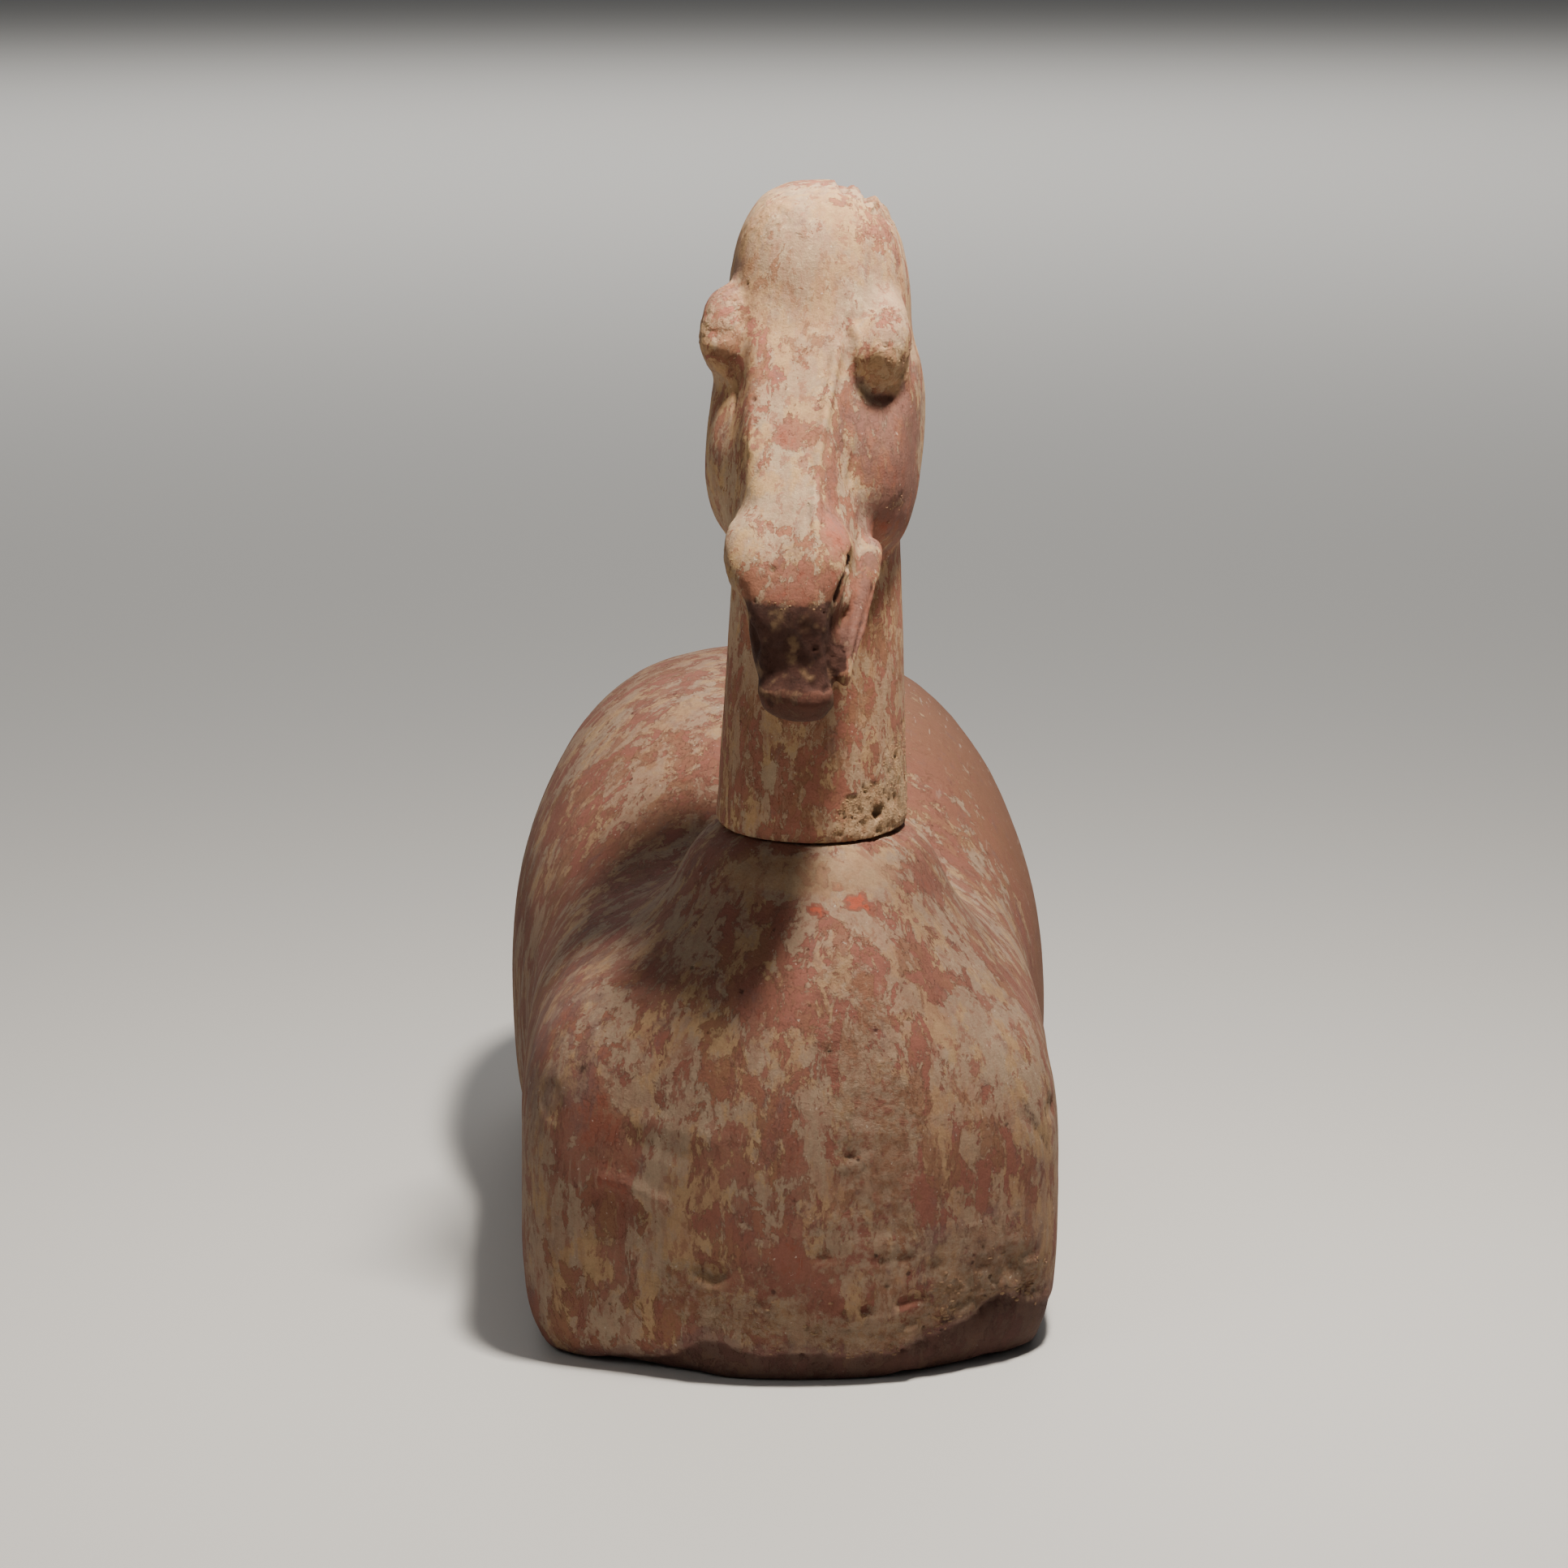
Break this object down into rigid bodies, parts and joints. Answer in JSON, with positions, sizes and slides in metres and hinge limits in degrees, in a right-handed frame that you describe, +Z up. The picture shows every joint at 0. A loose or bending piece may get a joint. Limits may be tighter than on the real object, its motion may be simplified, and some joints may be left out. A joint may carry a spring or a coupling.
{
  "type": "pottery horse",
  "caption": "Legless torso and separate head and neck of an ancient painted earthenware horse, with the neck resting on a stump at the shoulders.",
  "frame": {"origin": "on the ground, under the middle of the whole figure's bounding box", "axes": "+Z up, the horse faces -Y, its left side is towards +X"},
  "size_m": [0.2974, 0.6356, 0.568],
  "materials": {
    "torso_clay": "matt fired clay with worn cream slip and pink-red pigment",
    "head_clay": "matt fired clay with worn cream slip and pink-red pigment"
  },
  "bodies": {
    "root": {"torso": "torso_clay", "head_and_neck": "head_clay"}
  },
  "joints": []
}
